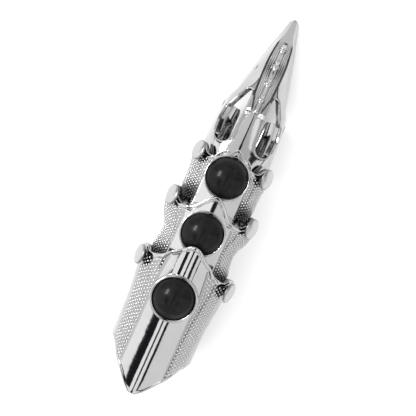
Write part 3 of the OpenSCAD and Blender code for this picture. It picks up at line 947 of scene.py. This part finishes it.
def edge_at(share):
    i, count = math.floor(share), len(window_edge)
    a, b = window_edge[i % count], window_edge[(i + 1) % count]
    return a[0].lerp(b[0], share - i), a[1].lerp(b[1], share - i).normalized()


def settle_round(loop, place_at, along_at):
    """Evens out the grid beside a border, over the claw's surface."""
    still, beside = set(loop), set(loop)
    for _ in range(3):
        beside |= {e.other_vert(v) for v in list(beside) for e in v.link_edges}
    beside = [v for v in beside - still if not v.is_boundary]
    for _ in range(4):
        for v in beside:
            near = [e.other_vert(v) for e in v.link_edges]
            v[place_at] = (v[place_at] + sum(n[place_at] for n in near) / len(near)) / 2
            v[along_at] = (v[along_at] + sum(n[along_at] for n in near) / len(near)) / 2
    for v in beside:
        v.co = claw.point(v[along_at], v[place_at])


# %% Cut and roll a window
ROLL_ANGLES = [math.radians(a) for a in (0, 15, 30, 45, 60, 75, 90)]


def next_ring(mesh, border, loop):
    """Extrudes the border. Gives the new border and, in the same order, the new loop."""
    made = bmesh.ops.extrude_edge_only(mesh, edges=border)["geom"]
    fresh = {g for g in made if isinstance(g, bmesh.types.BMVert)}
    border = [g for g in made if isinstance(g, bmesh.types.BMEdge) and fresh.issuperset(g.verts)]
    loop = [next(e.other_vert(v) for e in v.link_edges if e.other_vert(v) in fresh)
            for v in loop]
    return border, loop


def cut_window(mesh, side, place_at, along_at):
    def flat(co):
        return Vector((side * co.x, co.y))

    inside = [f for f in mesh.faces if all(abs(v[place_at]) < 2.2 for v in f.verts)
              and in_window(flat(f.calc_center_median()))]
    around = {e for f in inside for e in f.edges}
    bmesh.ops.delete(mesh, geom=inside, context="FACES")
    border = [e for e in around if e.is_valid and e.is_boundary]
    loop = in_order(border)
    at = along_edge([flat(v.co) for v in loop])
    for angle in ROLL_ANGLES:
        if angle:
            border, loop = next_ring(mesh, border, loop)
        for v, share in zip(loop, at):
            spot, way = edge_at(share)
            near = spot - ROLL * math.sin(angle) * way
            v[place_at], v[along_at] = place_of(side * near.x, near.y), near.y
            roof = claw.point(near.y, v[place_at])
            v.co = Vector((side * near.x, near.y, roof.z - ROLL * (1 - math.cos(angle))))
        if not angle:
            settle_round(loop, place_at, along_at)


# %% [markdown]
# ## The claw's skin
# The claw is bent from a grid as the plates are. Its columns are closer at its crest, where a
# channel with fine lengthwise grooves holds a bound rod, and its rows lie closer together towards
# its tip. On its left side is a small pit, a casting fault: the points inside an oval are pushed
# in as the grid is bent. The grooves, the channel's edges and the pit are given painted shade.

# %% Bend the claw
PIT_Y, PIT_PLACE, PIT_LONG, PIT_WIDE, PIT_DEEP = 24.9, -1.8, 0.85, 0.38, 0.45
# strength of the painted shade in the grooves and along the channel's edges
GROOVE_SHADE, CHANNEL_EDGE_SHADE = 0.4, 0.9
CLAW_ROWS, CROWDING, TIP_HOLE = 130, 1.15, 0.004
claw_half = (spread(0, 1, 16) + [1, 1.0001, 1.02, 1.05] + spread(1.08, 2, 30)
             + spread(2, 3, 14) + [3])
claw_columns = [-c for c in reversed(claw_half[1:])] + claw_half


def claw_y(place, share):
    rear = claw.rear(abs(place))
    eased = 1 - (1 - share) ** CROWDING
    return rear + eased * (TIP_END - TIP_HOLE - rear)


def claw_skin():
    rows = [i / CLAW_ROWS for i in range(CLAW_ROWS + 1)]
    mesh, grid = flat_grid(claw_columns, rows)
    tarnish_and_shade, _, place_at, along_at = [mesh.verts.layers.float[name] for name in PAINTS]
    pit_middle = claw.point(PIT_Y, PIT_PLACE)
    for v, (place, share) in grid.items():
        y = claw_y(place, share)
        from_pit = claw.point(y, place) - pit_middle
        far = math.hypot(from_pit.y / PIT_LONG, from_pit.xz.length / PIT_WIDE)
        pit = smooth_step(1.1, 0.6, far)
        v.co = claw.point(y, place, -PIT_DEEP * pit)
        v[place_at], v[along_at] = place, y
        side = abs(place)
        groove = 0.5 - 0.5 * math.cos(2 * math.pi * v.co.x / GROOVE_PITCH)
        channel = smooth_step(13.2, 14.5, y) * smooth_step(33.8, 32.5, y)
        lines = GROOVE_SHADE * groove * smooth_step(1, 0.95, side)
        edge = CHANNEL_EDGE_SHADE * (0.93 < side < 1.01)
        # painted shade in the grooves, along the channel's edges and in the pit
        v[tarnish_and_shade] = max(channel * (lines + edge), pit)
    for side in (-1, 1):
        cut_window(mesh, side, place_at, along_at)
    rim_faces = thicken(mesh, lambda v: claw.inside(v[along_at], v[place_at]))
    round_over(mesh, rim_faces, 0.12, keep=lambda e: all(v.co.y < 3 for v in e.verts))
    return mesh


claw_mesh = claw_skin()

# %% [markdown]
# ## The bound rod and the tabs
# The rod is turned in one piece with its ties: each is a pair of small swellings. Its points are
# then lifted onto the falling line of the crest. The tabs that grip the fingertip are two pieces
# of a bent bar; their dark inner faces show through the windows.

# %% Rod
ROD_ENDS, TIES = (13.4, 33.0), (17.1, 21.6, 26.4, 31.4)
ROD_R, ROD_WAIST, ROD_BELLY, ROD_END_R = 0.68, 0.96, 1.06, 0.4
TIE_HALF = 0.5
tie_shape = [(-TIE_HALF, 0.68), (-0.42, 0.88), (-0.22, 0.96), (0, 0.8), (0.22, 0.96),
             (0.42, 0.88), (TIE_HALF, 0.68)]


def rod():
    rear, ahead = ROD_ENDS
    outline = [(0, rear - 0.3), (ROD_END_R, rear - 0.2), (ROD_R, rear + 0.1)]
    stop = rear + 0.1
    for tie in TIES + (ahead + 0.3,):
        middle_y = (stop + tie - TIE_HALF) / 2
        waist, belly = ROD_R * ROD_WAIST, ROD_R * ROD_BELLY
        outline += [(waist, middle_y - 1), (belly, middle_y), (waist, middle_y + 1)]
        if tie in TIES:
            outline += [(r, tie + y) for y, r in tie_shape]
        stop = tie + TIE_HALF
    outline += [(ROD_END_R, ahead), (0, ahead + 0.2)]
    outline = sorted(outline, key=lambda p: p[1])
    mesh = turned(outline, 16, Matrix.Rotation(math.radians(-90), 4, "X"))
    for v in mesh.verts:
        v.co.z += claw.crest(v.co.y)
    return mesh


# %% Tabs, and the whole claw
TAB_IN, TAB_OUT, TAB_GAP, TAB_DROP, TAB_TOP = 7.2, 8.4, 7.4, 3.7, 1.9
TAB_REAR, TAB_FRONT, TAB_CORNER = 4.2, 15.2, 1.6
tab_half_gap = math.degrees(math.asin(TAB_GAP / 2 / TAB_OUT))
tab_reach = math.degrees(math.acos(TAB_TOP / TAB_OUT))
join(claw_mesh, rod())
for start, end in ((tab_half_gap, tab_reach), (360 - tab_reach, 360 - tab_half_gap)):
    join(claw_mesh, bent_bar(TAB_IN, TAB_OUT, TAB_REAR, TAB_FRONT, TAB_DROP, start, end,
                             corner=TAB_CORNER, dull=0.0, corners_from=10))
piece(claw_mesh, "claw_casting", "claw", polished, nodes=["claw"])

# %% [markdown]
# ## The floor
# The ring lies on a plain pale table.

# %% Floor
def floor():
    recipe = Recipe("pale table")
    tone = recipe.mix(recipe.noise(6, 2), (0.64, 0.64, 0.64, 1), (0.67, 0.67, 0.67, 1))
    mesh = bmesh.new()
    bmesh.ops.create_grid(mesh, x_segments=2, y_segments=2, size=3.0)
    data = bpy.data.meshes.new("table_top")
    mesh.to_mesh(data)
    mesh.free()
    data.materials.append(recipe.set(Base_Color=tone, Roughness=0.8))
    made = bpy.data.objects.new("table_top", data)
    made.location.z = solid_box[0][2] - 0.0002
    bpy.context.scene.collection.objects.link(made)


floor()

# %% [markdown]
# ## Studio light
# Jewellery is photographed between softboxes, and a mirror finish shows them all. A wall of light
# on each side whitens the slopes, two strips overhead light the keel, and the unlit gaps between
# them are the black bands beside it. Dimmer boxes further ahead light the claw, which slopes
# away, and a small bright one on the left is the highlight in the stones. The room is bright to
# matt things, so the table is white, and dark to shiny ones.

# %% Softboxes: angles from straight up, width and length in degrees, brightness
LIT_FROM = Matrix.Translation((0, 0, 0.018))


def softbox(name, side, ahead, wide, long, brightness, distance=1.0):
    """side: degrees to the ring's right. ahead: degrees towards its tip."""
    light = bpy.data.lights.new(name, "AREA")
    light.shape = "RECTANGLE"
    light.size, light.size_y = [2 * distance * math.tan(math.radians(a / 2)) for a in (wide, long)]
    light.energy = brightness * math.pi * light.size * light.size_y
    made = bpy.data.objects.new(name, light)
    turn = Matrix.Rotation(math.radians(side), 4, "Y")
    turn = turn @ Matrix.Rotation(math.radians(-ahead), 4, "X")
    made.matrix_world = LIT_FROM @ turn @ Matrix.Translation((0, 0, distance))
    made.visible_camera = False
    bpy.context.scene.collection.objects.link(made)


softbox("left wall", -66, -18, 46, 64, 1.85)
softbox("right wall", 59, -18, 54, 64, 1.45)
softbox("left claw wall", -60, 40, 44, 40, 0.95)
softbox("right claw wall", 58, 40, 46, 40, 0.8)
softbox("left keel strip", -12.5, -30, 15, 40, 1.8)
softbox("right keel strip", 12.5, -30, 15, 40, 1.7)
softbox("left overhead", -20, 0, 30, 22, 2.0)
softbox("right overhead", 22, 0, 32, 22, 1.35)
softbox("left overhead, claw", -20, 36, 28, 46, 1.25)
softbox("right overhead, claw", 21, 36, 30, 46, 0.95)
softbox("front wall", 0, 78, 60, 22, 1.2)
softbox("rear wall", 0, -70, 80, 34, 1.1)
softbox("key", -43, 10, 13, 24, 26, 0.9)

# %% The room, as matt things and as shiny things see it
world = bpy.data.worlds.new("studio")
bpy.context.scene.world = world
world.use_nodes = True
tree = world.node_tree
path = tree.nodes.new("ShaderNodeLightPath")
tone = tree.nodes.new("ShaderNodeMix")
tone.data_type = "RGBA"
tone.inputs[6].default_value = (0.9, 0.9, 0.9, 1)
tone.inputs[7].default_value = (0.02, 0.02, 0.022, 1)
tree.links.new(path.outputs["Is Glossy Ray"], tone.inputs[0])
tree.links.new(tone.outputs[2], tree.nodes["Background"].inputs["Color"])

# %% [markdown]
# ## Camera
# The photograph looks almost straight down, a little from the ring's tip and from its left,
# through a long lens.

# %% Camera
LEAN_RIGHT, LEAN_FRONT, ROLL_DEG = -0.9, 1.9, 24.0
AIM = Vector((-1.12, -1.2, 12.0)) * MM
DISTANCE, SPAN = 0.9, 416 / 4150

camera = bpy.data.cameras.new("camera")
camera.sensor_width = 36
camera.lens = camera.sensor_width * DISTANCE / SPAN
camera.clip_start, camera.clip_end = 0.05, 20
back = Vector((math.sin(math.radians(LEAN_RIGHT)), math.sin(math.radians(LEAN_FRONT)), 0))
back.z = math.sqrt(1 - back.length_squared)
right = (Vector((1, 0, 0)) - back.x * back).normalized()
up = back.cross(right)
turn = Matrix.Rotation(math.radians(ROLL_DEG), 3, back)
axes = Matrix((turn @ right, turn @ up, back)).transposed().to_4x4()
eye = bpy.data.objects.new("camera", camera)
eye.matrix_world = Matrix.Translation(AIM + back * DISTANCE) @ axes
bpy.context.scene.collection.objects.link(eye)
bpy.context.scene.camera = eye
bpy.context.scene.view_settings.view_transform = "Standard"

# %% Finish
bpy.context.view_layer.update()
